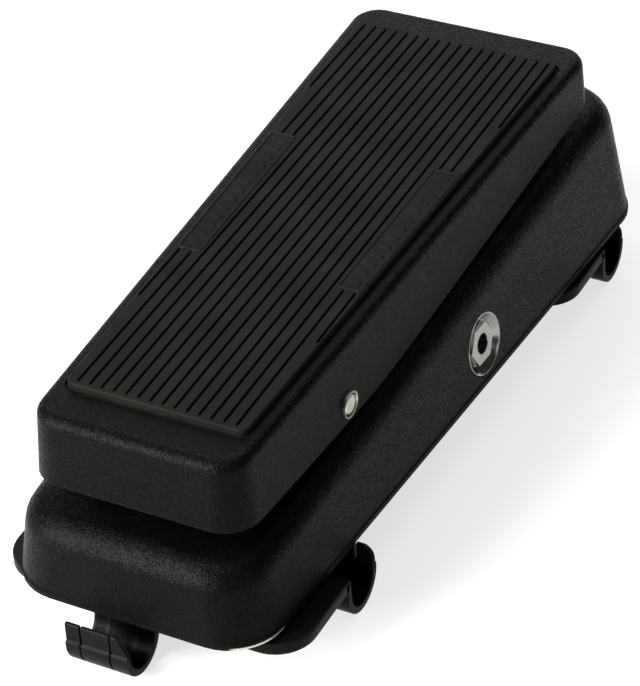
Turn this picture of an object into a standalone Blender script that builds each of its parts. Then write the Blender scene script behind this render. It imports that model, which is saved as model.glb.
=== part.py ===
"""Rocker pedal on two clip-on board brackets, built in metres with +Z up, heel towards -Y."""
import math

import bmesh
import bpy
from mathutils import Matrix, Vector

for old in list(bpy.data.objects):
    bpy.data.objects.remove(old, do_unlink=True)

# ---- driving sizes, millimetres; z = 0 is the underside of the steel bottom plate ----
base_length = 252.0
heel_half_width = 40.2
toe_half_width = 51.4
heel_corner = 16.0
toe_corner = 17.5
heel_top = 24.1
toe_top = 43.0
side_draft = 0.14
heel_draft = 0.08
toe_draft = 0.12
rim_radius = 7.0
wall = 3.0
sheet = 1.5
gap = 0.3

treadle_heel_inset = 10.0
treadle_toe_inset = 18.8
treadle_heel_half = 32.2
treadle_toe_half = 39.5
treadle_corner = 9.0
treadle_edge = 3.0
treadle_heel_z = 54.7
treadle_toe_z = 61.8
treadle_flare = 0.075
deck = 3.5
skirt_heel_z = 33.5
skirt_low_z = 32.1
skirt_toe_z = 46.4

pivot_y = -57.5
pivot_z = 37.0
pin_radius = 3.0
bush_radius = 4.5
post_in = 20.0
post_out = 27.0

mat_heel_margin = 13.8
mat_toe_margin = 13.3
mat_side_margin = 4.86
mat_rise = 1.9
mat_recess = 1.0
mat_border = 0.9
mat_flange = 0.5
groove_pitch = 3.72
groove_width = 0.9
groove_depth = 0.9
groove_margin = 1.5
panel_heel_y = -36.0
panel_toe_y = 26.0
panel_groove = 22.0

rack_y = 12.0
rack_pin_z = 47.0
rack_pitch_y = 14.5
tooth_module = 1.0
pinion_teeth = 14
pinion_z = 19.0
mesh_slack = 0.15

jack_y = 12.3
jack_clear = 1.6
jack_bore = 6.4
cup_radius = 9.8
power_y = 50.0
power_z = 16.0

switch_inset = 15.2
switch_bush = 6.0
plunger_radius = 4.8
plunger_top = 54.7

battery_inset = 26.0

bracket_depth = 33.3
bracket_half = 47.2
bracket_thick = 4.0
bracket_top = -1.3
bracket_corner = 12.0
heel_bracket_inset = 8.7
toe_bracket_inset = 33.2
toe_bracket_shift = 4.0
hook_width = 19.6
hook_inner = 6.6
hook_wall = 2.2
hook_drop = 7.3
finger_width = 4.6
finger_slot = 0.8

# ---- placing: the finished part stands on its hooks with its box centred on the origin ----
half_length = base_length / 2
treadle_heel_y = treadle_heel_inset - half_length
treadle_toe_y = half_length - treadle_toe_inset
switch_y = treadle_toe_y - switch_inset
battery_y = battery_inset - half_length
jack_z = sheet + gap + cup_radius + jack_clear
heel_bracket_y = heel_bracket_inset - half_length
toe_bracket_y = half_length - toe_bracket_inset - bracket_depth
hook_reach = 2 * hook_inner + hook_wall + 0.4
lift = hook_drop + hook_inner + hook_wall - bracket_top
shift_y = ((half_length) + (heel_bracket_y - hook_reach)) / -2


def base_top(y):
    return heel_top + (toe_top - heel_top) * (y + half_length) / base_length


def treadle_top(y):
    run = (y - treadle_heel_y) / (treadle_toe_y - treadle_heel_y)
    return treadle_heel_z + (treadle_toe_z - treadle_heel_z) * run


def treadle_half(y):
    run = (y - treadle_heel_y) / (treadle_toe_y - treadle_heel_y)
    return treadle_heel_half + (treadle_toe_half - treadle_heel_half) * run


def flank(y, z):
    """Half width of the base's outer side at a height."""
    run = (y + half_length) / base_length
    return heel_half_width + (toe_half_width - heel_half_width) * run - side_draft * z


mat_heel_y = treadle_heel_y + mat_heel_margin
mat_toe_y = treadle_toe_y - mat_toe_margin
mat_heel_half = treadle_half(mat_heel_y) - mat_side_margin
mat_toe_half = treadle_half(mat_toe_y) - mat_side_margin
pinion_y = rack_pitch_y + tooth_module * pinion_teeth / 2 + mesh_slack
splay = (toe_half_width - heel_half_width) / base_length


# ---- materials ----
def material(name, colour, rough, metal=0.0):
    mat = bpy.data.materials.new(name)
    mat.use_nodes = True
    shader = mat.node_tree.nodes["Principled BSDF"]
    shader.inputs["Base Color"].default_value = (*colour, 1.0)
    shader.inputs["Roughness"].default_value = rough
    shader.inputs["Metallic"].default_value = metal
    mat.diffuse_color = (*colour, 1.0)
    return mat


powder = material("black_powder_coat", (0.03, 0.03, 0.03), 0.6)
zinc = material("zinc_steel", (0.55, 0.55, 0.56), 0.4, 1.0)
chrome = material("chrome", (0.75, 0.75, 0.76), 0.12, 1.0)
rubber = material("black_rubber", (0.025, 0.025, 0.025), 0.8)
moulded = material("black_moulding", (0.04, 0.04, 0.042), 0.45)
nylon = material("white_nylon", (0.8, 0.79, 0.74), 0.5)
foam = material("brown_foam", (0.12, 0.05, 0.03), 0.9)
laminate = material("green_laminate", (0.03, 0.16, 0.07), 0.4)
wound = material("blue_can", (0.1, 0.13, 0.35), 0.45)
cell = material("battery_wrap", (0.25, 0.25, 0.27), 0.4)


# ---- shapes ----
def solid(points, faces):
    data = bpy.data.meshes.new("shape")
    data.from_pydata([Vector(p) for p in points], [], faces)
    work = bmesh.new()
    work.from_mesh(data)
    bmesh.ops.recalc_face_normals(work, faces=work.faces)
    work.to_mesh(data)
    work.free()
    return data


def loft(rings):
    count = len(rings[0])
    points = [p for ring in rings for p in ring]
    faces = [list(range(count))[::-1]]
    for level in range(len(rings) - 1):
        low = level * count
        for i in range(count):
            j = (i + 1) % count
            faces.append([low + i, low + j, low + count + j, low + count + i])
    last = (len(rings) - 1) * count
    faces.append([last + i for i in range(count)])
    return solid(points, faces)


def box(x0, x1, y0, y1, z0, z1):
    ring = [(x0, y0), (x1, y0), (x1, y1), (x0, y1)]
    return loft([[(x, y, z0) for x, y in ring], [(x, y, z1) for x, y in ring]])


def turned(profile, centre, axis="Z", sides=32):
    """A solid of revolution: profile is (distance along the axis, radius), ends closed flat."""
    rings = []
    for along, radius in profile:
        ring = []
        for i in range(sides):
            a = 2 * math.pi * (i + 0.5) / sides
            u = radius * math.cos(a)
            v = radius * math.sin(a)
            if axis == "Z":
                ring.append((centre[0] + u, centre[1] + v, centre[2] + along))
            elif axis == "X":
                ring.append((centre[0] + along, centre[1] + u, centre[2] + v))
            else:
                ring.append((centre[0] + v, centre[1] + along, centre[2] + u))
        rings.append(ring)
    return loft(rings)


def rod(radius, low, high, centre, axis="Z", sides=32):
    return turned([(low, radius), (high, radius)], centre, axis, sides)


def prism_x(outline, x0, x1):
    return loft([[(x0, y, z) for y, z in outline], [(x1, y, z) for y, z in outline]])


def prism_z(outline, z0, z1):
    return loft([[(x, y, z0) for x, y in outline], [(x, y, z1) for x, y in outline]])


def tapered(half0, y0, half1, y1, corner0, corner1, steps=10):
    """A four-cornered outline, centred on x = 0, of one width at y0 and another at y1."""
    ring = []
    corners = [(1, y0, half0, corner0, -90), (1, y1, half1, corner1, 0),
               (-1, y1, half1, corner1, 90), (-1, y0, half0, corner0, 180)]
    for side, y, half, radius, start in corners:
        middle = y + radius if y == y0 else y - radius
        for i in range(steps):
            a = math.radians(start + 90.0 * i / (steps - 1))
            ring.append((side * (half - radius) + radius * math.cos(a), middle + radius * math.sin(a)))
    return ring


def rounded(x0, x1, y0, y1, radii, steps=8):
    """A rectangle outline with its own radius on each corner, from low-low anticlockwise."""
    ring = []
    spots = [(x0, y0, 1, 1, 180), (x1, y0, -1, 1, 270), (x1, y1, -1, -1, 0), (x0, y1, 1, -1, 90)]
    for (x, y, sx, sy, start), radius in zip(spots, radii):
        for i in range(steps):
            a = math.radians(start + 90.0 * i / (steps - 1))
            ring.append((x + sx * radius + radius * math.cos(a), y + sy * radius + radius * math.sin(a)))
    return ring


def holder(data):
    item = bpy.data.objects.new("shape", data)
    bpy.context.scene.collection.objects.link(item)
    return item


def combine(start, steps):
    """Join or cut with each of the steps in turn and return the resulting mesh."""
    item = holder(start)
    for operation, tool_data in steps:
        tool = holder(tool_data)
        change = item.modifiers.new("step", "BOOLEAN")
        change.operation = operation
        change.solver = "EXACT"
        change.object = tool
        graph = bpy.context.evaluated_depsgraph_get()
        result = bpy.data.meshes.new_from_object(item.evaluated_get(graph))
        item.modifiers.clear()
        item.data = result
        bpy.data.objects.remove(tool, do_unlink=True)
    data = item.data
    bpy.data.objects.remove(item, do_unlink=True)
    work = bmesh.new()
    work.from_mesh(data)
    bmesh.ops.remove_doubles(work, verts=work.verts, dist=0.002)
    bmesh.ops.dissolve_degenerate(work, edges=work.edges, dist=0.001)
    bmesh.ops.triangulate(work, faces=[f for f in work.faces if len(f.verts) > 4])
    work.to_mesh(data)
    work.free()
    return data


def piece(name, data, look, origin=(0.0, 0.0, 0.0)):
    data.name = name
    data.transform(Matrix.Translation(-Vector(origin)))
    data.transform(Matrix.Scale(0.001, 4))
    data.materials.clear()
    data.materials.append(look)
    item = bpy.data.objects.new(name, data)
    item.location = ((origin[0]) / 1000, (origin[1] + shift_y) / 1000, (origin[2] + lift) / 1000)
    bpy.context.scene.collection.objects.link(item)
    return item


JOIN = "UNION"
CUT = "DIFFERENCE"


# ---- base casting, open below ----
def base_rings(inset, floor, radius):
    rings = []
    bottom = floor
    levels = [(None, 0.0)]
    for k in range(7):
        a = math.radians(15.0 * k)
        levels.append((-radius * (1 - math.sin(a)), radius * (1 - math.cos(a))))
    for up, inner in levels:
        if up is None:
            high0 = high1 = bottom
        else:
            high0 = heel_top - inset + up
            high1 = toe_top - inset + up
        ring = tapered(heel_half_width - inset - side_draft * high0 - inner,
                       -half_length + inset + heel_draft * high0 + inner,
                       toe_half_width - inset - side_draft * high1 - inner,
                       half_length - inset - toe_draft * high1 - inner,
                       heel_corner - inset - inner * 0.9, toe_corner - inset - inner * 0.9)
        if up is None:
            rings.append([(x, y, bottom) for x, y in ring])
        else:
            rings.append([(x, y, base_top(y) - inset + up) for x, y in ring])
    return rings


heel_bolt = (heel_half_width - 11.2, 19.0 - half_length)
toe_bolt = (toe_half_width - 12.9, half_length - 24.0)
plate_bolts = [(-heel_bolt[0], heel_bolt[1]), heel_bolt, (-toe_bolt[0], toe_bolt[1]), toe_bolt]
board_posts = [(-24.0, -55.0), (24.0, -10.0)]
bracket_posts = [(17.0, pinion_y - 7.15), (17.0, pinion_y + 6.85)]
strap_feet = [(0.0, pivot_y - 14.5), (0.0, pivot_y + 14.5)]
board_top = 7.6
strap_seat = 31.4
low_edge = sheet + gap

steps = [(CUT, loft(base_rings(wall, -2.0, 4.0)))]
for x, y in plate_bolts:
    steps.append((JOIN, rod(4.5, low_edge, base_top(y) - wall + 1.0, (x, y, 0))))
for x, y in board_posts:
    steps.append((JOIN, rod(3.5, board_top + gap, base_top(y) - wall + 1.0, (x, y, 0), "Z", 24)))
for x, y in bracket_posts:
    steps.append((JOIN, rod(3.0, 29.8, base_top(y) - wall + 1.0, (x, y, 0), "Z", 24)))
clip_y = battery_y + 13.0
steps.append((JOIN, rod(4.0, 21.1, base_top(clip_y) - wall + 1.0, (0, clip_y, 0), "Z", 24)))
for x, y in strap_feet:
    steps.append((JOIN, rod(5.0, base_top(y) - 1.5, strap_seat, (x, y, 0))))
post_round = bush_radius + 2.5
post_outline = [(pivot_y - post_round, base_top(pivot_y) - 2.0)]
for i in range(13):
    a = math.radians(180.0 - 15.0 * i)
    post_outline.append((pivot_y + post_round * math.cos(a), pivot_z + post_round * math.sin(a)))
post_outline.append((pivot_y + post_round, base_top(pivot_y) - 2.0))
for side in (-1, 1):
    steps.append((JOIN, prism_x(post_outline, side * post_in, side * post_out)))
steps.append((CUT, rod(bush_radius + 0.1, -40.0, 40.0, (0, pivot_y, pivot_z), "X")))
for x, y in plate_bolts:
    steps.append((CUT, rod(1.8, 0.0, 13.0, (x, y, 0), "Z", 24)))
for x, y in board_posts:
    steps.append((CUT, rod(1.4, 0.0, 16.0, (x, y, 0), "Z", 20)))
for x, y in strap_feet:
    steps.append((CUT, rod(1.8, 22.0, 40.0, (x, y, 0), "Z", 24)))
steps.append((CUT, box(-5.6, 5.6, rack_y - 3.6, rack_y + 4.2, 20.0, 50.0)))
steps.append((CUT, rod(switch_bush + gap, 20.0, 60.0, (0, switch_y, 0))))
jack_face = flank(jack_y, jack_z)
power_face = flank(power_y, power_z)
beyond = toe_half_width + 20.0
for side in (-1, 1):
    spot = (0, jack_y, jack_z)
    steps.append((CUT, rod(cup_radius + gap, side * (jack_face - 0.9), side * beyond, spot, "X", 48)))
    steps.append((CUT, rod(4.8, side * (jack_face - 8.5), side * beyond, spot, "X")))
spot = (0, power_y, power_z)
steps.append((CUT, rod(6.6, -beyond, 1.8 - power_face, spot, "X")))
steps.append((CUT, rod(5.6, -beyond, 9.8 - power_face, spot, "X")))
base = piece("base_casting", combine(loft(base_rings(0.0, low_edge, rim_radius)), steps), powder)

# ---- bottom plate and its countersunk screws ----
outline = tapered(heel_half_width, -half_length, toe_half_width, half_length, heel_corner, toe_corner)
steps = []
for x, y in plate_bolts:
    sink = [(-0.1, 3.6), (0.0, 3.5), (sheet, 2.0), (sheet + 0.1, 2.0)]
    steps.append((CUT, turned(sink, (x, y, 0), "Z", 24)))
piece("bottom_plate", combine(prism_z(outline, 0.0, sheet), steps), zinc)
for number, (x, y) in enumerate(plate_bolts, 1):
    screw = turned([(0.05, 3.1), (sheet, 1.6), (12.0, 1.6)], (x, y, 0), "Z", 24)
    piece("plate_screw_%d" % number, screw, zinc)

# ---- treadle casting ----
def treadle_rings(inset, drop, radius, depth):
    rings = []
    levels = [(-radius - depth, -treadle_flare * depth)]
    for k in range(5):
        a = math.radians(22.5 * k)
        levels.append((-radius * (1 - math.sin(a)), radius * (1 - math.cos(a))))
    for up, inner in levels:
        trim = inset + inner
        corner = max(treadle_corner - trim, 0.8)
        ring = tapered(treadle_heel_half - trim, treadle_heel_y + trim,
                       treadle_toe_half - trim, treadle_toe_y - trim, corner, corner, 8)
        rings.append([(x, y, treadle_top(y) - drop + up) for x, y in ring])
    return rings


clear_heel = treadle_heel_y - 24.0
clear_toe = treadle_toe_y + 32.8
skirt = [(clear_heel, 0.0), (clear_heel, skirt_heel_z), (treadle_heel_y, skirt_heel_z)]
skirt += [(treadle_heel_y + 28.0, skirt_low_z + 0.5), (pivot_y - 6.8, skirt_low_z)]
skirt += [(pivot_y + 17.2, skirt_low_z), (pivot_y + 35.5, skirt_low_z + 1.3)]
skirt += [(treadle_toe_y, skirt_toe_z), (clear_toe, skirt_toe_z), (clear_toe, 0.0)]
stop_spots = [(-20.0, treadle_heel_y + 16.0), (20.0, treadle_heel_y + 16.0)]
stop_low = 34.4
steps = [(CUT, loft(treadle_rings(wall, deck, 1.5, 34.0)))]
steps.append((CUT, prism_x(skirt, -beyond, beyond)))
for side in (-1, 1):
    hub = rod(pin_radius + 3.0, side * 29.2, side * (treadle_half(pivot_y) - 1.0), (0, pivot_y, pivot_z), "X")
    steps.append((JOIN, hub))
    ear = prism_x([(rack_y - 5.0, treadle_top(rack_y) - deck + 0.6), (rack_y - 5.0, rack_pin_z),
                   (rack_y - 3.5, rack_pin_z - 3.5), (rack_y, rack_pin_z - 4.6),
                   (rack_y + 3.5, rack_pin_z - 3.5), (rack_y + 5.0, rack_pin_z),
                   (rack_y + 5.0, treadle_top(rack_y) - deck + 0.6)], side * 4.7, side * 8.0)
    steps.append((JOIN, ear))
for x, y in stop_spots:
    steps.append((JOIN, rod(4.0, stop_low, treadle_top(y) - deck + 1.0, (x, y, 0), "Z", 24)))
steps.append((CUT, rod(pin_radius + 0.15, -beyond, beyond, (0, pivot_y, pivot_z), "X")))
steps.append((CUT, rod(1.65, -20.0, 20.0, (0, rack_y, rack_pin_z), "X", 24)))
seat = tapered(mat_heel_half + mat_border, mat_heel_y - mat_border,
               mat_toe_half + mat_border, mat_toe_y + mat_border, 3.0 + mat_border, 3.0 + mat_border, 6)
steps.append((CUT, loft([[(x, y, treadle_top(y) - mat_recess) for x, y in seat],
                         [(x, y, treadle_top(y) + 8.0) for x, y in seat]])))
treadle = piece("treadle", combine(loft(treadle_rings(0.0, 0.0, treadle_edge, 30.0)), steps), powder,
                (0, pivot_y, pivot_z))


# ---- ribbed tread mat ----
def mat_ring(trim, up):
    ring = tapered(mat_heel_half - trim, mat_heel_y + trim, mat_toe_half - trim, mat_toe_y - trim,
                   3.0 - trim, 3.0 - trim, 6)
    return [(x, y, treadle_top(y) + up) for x, y in ring]


def mat_reach(x):
    """The y beyond which the mat is wide enough for a groove at x."""
    run = (x + groove_width / 2 + 0.6 - mat_heel_half) / (mat_toe_half - mat_heel_half)
    return mat_heel_y + run * (mat_toe_y - mat_heel_y)


steps = []
across = groove_pitch / 2
while mat_reach(across) < mat_toe_y - 20.0:
    start = max(mat_heel_y + groove_margin, mat_reach(across))
    spans = [(start, mat_toe_y - groove_margin)]
    if across > panel_groove:
        spans = [(start, panel_heel_y), (max(start, panel_toe_y), mat_toe_y - groove_margin)]
    for y0, y1 in spans:
        if y1 - y0 < 3.0:
            continue
        for side in (-1, 1):
            x0, x1 = sorted((side * (across - groove_width / 2), side * (across + groove_width / 2)))
            ring = [(x0, y0), (x1, y0), (x1, y1), (x0, y1)]
            cutter = loft([[(x, y, treadle_top(y) + mat_rise - groove_depth) for x, y in ring],
                           [(x, y, treadle_top(y) + 8.0) for x, y in ring]])
            steps.append((CUT, cutter))
    across += groove_pitch
body = loft([mat_ring(-mat_flange, gap - mat_recess), mat_ring(-mat_flange, -0.2), mat_ring(0.0, -0.1),
             mat_ring(0.0, mat_rise - 0.6), mat_ring(0.6, mat_rise)])
piece("tread_mat", combine(body, steps), rubber, (0, pivot_y, pivot_z))

# ---- hinge pin, bushes and tension strap ----
pin_half = treadle_half(pivot_y) + treadle_flare * (treadle_top(pivot_y) - pivot_z) + 0.1
pin = turned([(-pin_half, pin_radius - 0.4), (0.4 - pin_half, pin_radius), (pin_half - 0.4, pin_radius),
              (pin_half, pin_radius - 0.4)], (0, pivot_y, pivot_z), "X")
piece("hinge_pin", pin, zinc, (0, pivot_y, pivot_z))
for name, side in (("hinge_bush_left", -1), ("hinge_bush_right", 1)):
    inner = post_in + 0.5
    flange = side * (post_out + gap)
    sleeve = turned([(side * inner, bush_radius), (flange, bush_radius), (flange, bush_radius + 1.5),
                     (side * 28.7, bush_radius + 1.5)], (0, pivot_y, pivot_z), "X")
    steps = [(CUT, rod(pin_radius + 0.08, side * 10.0, side * 40.0, (0, pivot_y, pivot_z), "X"))]
    piece(name, combine(sleeve, steps), nylon)

strap_low = strap_seat + gap
strap_thick = 1.2
bend_in = pin_radius + 0.25
bend_out = bend_in + strap_thick
inner_arc = []
outer_arc = []
for i in range(13):
    a = math.radians(180.0 - 15.0 * i)
    inner_arc.append((pivot_y + bend_in * math.cos(a), pivot_z + bend_in * math.sin(a)))
    outer_arc.append((pivot_y + bend_out * math.cos(a), pivot_z + bend_out * math.sin(a)))
strap = [(pivot_y - 21.0, strap_low), (pivot_y - bend_in, strap_low)] + inner_arc
strap += [(pivot_y + bend_in, strap_low), (pivot_y + 21.0, strap_low)]
strap += [(pivot_y + 21.0, strap_low + strap_thick)]
strap += [(pivot_y + bend_out, strap_low + strap_thick)] + outer_arc[::-1]
strap += [(pivot_y - bend_out, strap_low + strap_thick), (pivot_y - 21.0, strap_low + strap_thick)]
steps = [(CUT, rod(1.9, 20.0, 50.0, (x, y, 0), "Z", 24)) for x, y in strap_feet]
piece("tension_strap", combine(prism_x(strap, -6.5, 6.5), steps), zinc)
for name, (x, y) in zip(("strap_screw_heel", "strap_screw_toe"), strap_feet):
    seat_z = strap_low + strap_thick + gap
    screw = turned([(23.0, 1.5), (seat_z, 1.5), (seat_z, 3.2), (seat_z + 1.2, 3.0), (seat_z + 2.0, 1.8)],
                   (x, y, 0), "Z", 24)
    piece(name, screw, zinc)

# ---- rack, its pin, and the pinion on the potentiometer shaft ----
tooth_pitch = math.pi * tooth_module
pressure = math.radians(20.0)
pitch_radius = tooth_module * pinion_teeth / 2
tip = 0.8 * tooth_module
root = 1.1 * tooth_module
rack_low = 4.4
rack_high = 31.0
back_y = 9.5
outline = [(back_y, rack_low), (rack_pitch_y - root, rack_low)]
first = math.ceil((rack_low + 1.6 - pinion_z) / tooth_pitch - 0.5) + 0.5
while pinion_z + first * tooth_pitch < rack_high - 1.6:
    centre = pinion_z + first * tooth_pitch
    half_root = tooth_pitch / 4 - mesh_slack + root * math.tan(pressure)
    half_tip = tooth_pitch / 4 - mesh_slack - tip * math.tan(pressure)
    outline.append((rack_pitch_y - root, centre - half_root))
    outline.append((rack_pitch_y + tip, centre - half_tip))
    outline.append((rack_pitch_y + tip, centre + half_tip))
    outline.append((rack_pitch_y - root, centre + half_root))
    first += 1.0
outline += [(rack_pitch_y - root, 42.0), (back_y, 42.0)]
head_outline = [(5.5, 41.5), (16.8, 41.5), (16.8, 50.5), (14.8, 52.5), (7.5, 52.5), (5.5, 50.5)]
slot = rounded(8.0, 14.1, rack_pin_z - 1.8, rack_pin_z + 1.8, (1.7, 1.7, 1.7, 1.7), 6)
steps = [(JOIN, prism_x(head_outline, -4.0, 4.0)), (CUT, prism_x(slot, -10.0, 10.0))]
piece("rack_bar", combine(prism_x(outline, -3.6, 3.6), steps), nylon, (0, rack_y, rack_pin_z))
piece("rack_pin", rod(1.5, -8.6, 8.6, (0, rack_y, rack_pin_z), "X", 24), zinc, (0, rack_y, rack_pin_z))

base_circle = pitch_radius * math.cos(pressure)


def involute(radius):
    if radius <= base_circle:
        return 0.0
    turn = math.acos(base_circle / radius)
    return math.tan(turn) - turn


half_tooth = (tooth_pitch / 4 - mesh_slack) / pitch_radius + involute(pitch_radius)
outline = []
for tooth in range(pinion_teeth):
    middle = math.pi + 2 * math.pi * tooth / pinion_teeth
    radii = [pitch_radius - root, base_circle, pitch_radius, pitch_radius + tip * 0.6, pitch_radius + tip]
    for radius in radii:
        a = middle - (half_tooth - involute(radius))
        outline.append((pinion_y + radius * math.cos(a), pinion_z + radius * math.sin(a)))
    for radius in radii[::-1]:
        a = middle + (half_tooth - involute(radius))
        outline.append((pinion_y + radius * math.cos(a), pinion_z + radius * math.sin(a)))
steps = [(JOIN, rod(2.0, 3.0, 13.0, (0, pinion_y, pinion_z), "X", 24))]
piece("pot_shaft", combine(prism_x(outline, -3.2, 3.4), steps), nylon, (0, pinion_y, pinion_z))

# ---- potentiometer, its bracket and nut, and the guide that presses the rack ----
can = turned([(6.0, 3.5), (12.0, 3.5), (12.0, 8.5), (21.5, 8.5), (22.0, 8.0)], (0, pinion_y, pinion_z), "X")
steps = [(CUT, rod(2.1, 0.0, 13.5, (0, pinion_y, pinion_z), "X", 24))]
piece("pot_body", combine(can, steps), zinc)
low = pinion_y - 10.65
high = pinion_y + 10.35
frame_plate = prism_x([(low, 9.0), (high, 9.0), (high, 29.5), (low, 29.5)], 10.5, 11.7)
steps = [(JOIN, box(11.0, 23.5, low, high, 28.3, 29.5)),
         (CUT, rod(3.8, 5.0, 15.0, (0, pinion_y, pinion_z), "X", 24))]
piece("pot_bracket", combine(frame_plate, steps), zinc)


def hexagon(across, centre_y, centre_z):
    ring = []
    for i in range(6):
        a = math.radians(60.0 * i + 30.0)
        reach = across / math.sqrt(3)
        ring.append((centre_y + reach * math.cos(a), centre_z + reach * math.sin(a)))
    return ring


nut = prism_x(hexagon(11.0, pinion_y, pinion_z), 8.0, 10.2)
steps = [(CUT, rod(3.6, 5.0, 15.0, (0, pinion_y, pinion_z), "X", 24))]
piece("pot_nut", combine(nut, steps), zinc)
guide = box(-6.5, 6.5, back_y - 4.9, back_y - gap, 10.0, 30.6)
steps = []
for side in (-1, 1):
    low, high = sorted((side * 4.1, side * 6.5))
    steps.append((JOIN, box(low, high, back_y - 1.5, back_y + 2.7, 12.0, 28.0)))
piece("rack_guide", combine(guide, steps), moulded)

# ---- circuit board and what stands on it ----
board = box(-29.0, 29.0, -64.0, 0.0, board_top - 1.6, board_top)
steps = [(CUT, rod(1.8, 0.0, 12.0, (x, y, 0), "Z", 20)) for x, y in board_posts]
piece("circuit_board", combine(board, steps), laminate)
for number, (x, y) in enumerate(board_posts, 1):
    seat_z = board_top - 1.6 - gap
    screw = turned([(seat_z - 1.8, 2.2), (seat_z - 0.4, 2.8), (seat_z, 2.8), (seat_z, 1.2), (15.0, 1.2)],
                   (x, y, 0), "Z", 24)
    piece("board_screw_%d" % number, screw, zinc)
piece("inductor_can", turned([(board_top + gap, 9.0), (18.0, 9.0), (19.0, 8.0)], (8.0, -42.0, 0)), wound)
large = turned([(board_top + gap, 4.0), (18.6, 4.0), (19.2, 3.4)], (-12.0, -36.0, 0), "Z", 24)
piece("capacitor_large", large, wound)
small = turned([(board_top + gap, 2.5), (14.6, 2.5), (15.0, 2.0)], (-8.0, -20.0, 0), "Z", 24)
piece("capacitor_small", small, wound)
piece("transistor", box(4.0, 9.0, -18.0, -14.4, board_top + gap, 13.0), moulded)

# ---- battery held by a spring clip ----
outline = rounded(-24.2, 24.2, battery_y, battery_y + 26.4, (1.5,) * 4, 5)
piece("battery", prism_z(outline, sheet + 0.7, sheet + 17.9), cell)
clip = [(-25.8, 7.0), (-25.8, 20.8), (25.8, 20.8), (25.8, 7.0)]
clip += [(24.9, 7.0), (24.9, 19.8), (-24.9, 19.8), (-24.9, 7.0)]
clip_mesh = loft([[(x, clip_y - 5.0, z) for x, z in clip], [(x, clip_y + 5.0, z) for x, z in clip]])
piece("battery_clip", clip_mesh, zinc)

# ---- toe footswitch ----
collar = turned([(36.1, switch_bush), (46.0, switch_bush)], (0, switch_y, 0))
steps = [(JOIN, box(-8.5, 8.5, switch_y - 10.0, switch_y + 10.0, 15.0, 36.2)),
         (CUT, rod(plunger_radius + 0.15, 30.0, 60.0, (0, switch_y, 0)))]
piece("footswitch_body", combine(collar, steps), zinc)
profile = [(34.0, plunger_radius), (plunger_top - 1.2, plunger_radius), (plunger_top, plunger_radius - 1.2)]
button = turned(profile, (0, switch_y, 0))
piece("footswitch_plunger", button, chrome, (0, switch_y, plunger_top))
ring_nut = [(x, y + switch_y) for x, y in hexagon(2 * switch_bush + 3.0, 0.0, 0.0)]
steps = [(CUT, rod(switch_bush + 0.1, 30.0, 60.0, (0, switch_y, 0)))]
piece("footswitch_nut", combine(prism_z(ring_nut, 41.4, 43.8), steps), zinc)
pad_z = treadle_top(switch_y) - deck - gap - 0.25
disc = turned([(pad_z - 1.5, 7.0), (pad_z, 7.0)], (0, switch_y, 0))
piece("switch_pad", disc, rubber, (0, pivot_y, pivot_z))

# ---- heel bumpers ----
for name, (x, y) in zip(("heel_bumper_left", "heel_bumper_right"), stop_spots):
    low = base_top(y + 4.0) + gap
    piece(name, turned([(low, 4.0), (low + 0.9, 4.0), (low + 1.2, 3.6)], (x, y, 0), "Z", 24), rubber)

# ---- jacks: body inside, cupped washer and hexagon nut outside ----
for label, side in (("input", 1), ("output", -1)):
    spot = (0, jack_y, jack_z)
    seat = jack_face - wall - 1.1 - splay * 8.8
    ends = sorted((side * (seat - 15.0), side * seat))
    steps = [(JOIN, box(*ends, jack_y - 8.8, jack_y + 8.8, jack_z - 8.4, jack_z + 8.4)),
             (CUT, rod(jack_bore / 2, side * (jack_face - 16.5), side * beyond, spot, "X"))]
    barrel = rod(4.5, side * (jack_face - 5.5), side * (jack_face + 2.9), spot, "X")
    piece(label + "_jack", combine(barrel, steps), moulded)
    profile = [(-0.6, 6.9), (0.1, cup_radius - 0.8), (0.9, cup_radius), (1.5, cup_radius - 0.3),
               (1.3, cup_radius - 1.0), (0.4, 7.4), (0.1, 6.6), (0.1, 5.2)]
    cup = turned([(side * (jack_face + u), r) for u, r in profile], spot, "X", 48)
    steps = [(CUT, rod(4.8, side * 30.0, side * beyond, spot, "X"))]
    piece(label + "_jack_washer", combine(cup, steps), chrome)
    nut = prism_x(hexagon(12.6, jack_y, jack_z), side * (jack_face + 0.4), side * (jack_face + 2.5))
    steps = [(CUT, rod(4.6, side * 30.0, side * beyond, spot, "X"))]
    piece(label + "_jack_nut", combine(nut, steps), zinc)

spot = (0, power_y, power_z)
seat = power_face - wall - 2.5 - splay * 7.0
ends = (-seat, 13.0 - seat)
steps = [(JOIN, box(*ends, power_y - 7.0, power_y + 7.0, power_z - 6.5, power_z + 6.5)),
         (CUT, rod(3.0, -beyond, 11.8 - power_face, spot, "X", 24))]
barrel = rod(5.2, -power_face - 1.2, 6.8 - power_face, spot, "X", 24)
piece("power_socket", combine(barrel, steps), moulded)
contact = [(-power_face - 0.4, 0.7), (-power_face, 1.0), (11.8 - gap - power_face, 1.0)]
piece("power_contact", turned(contact, spot, "X", 16), zinc)


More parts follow.
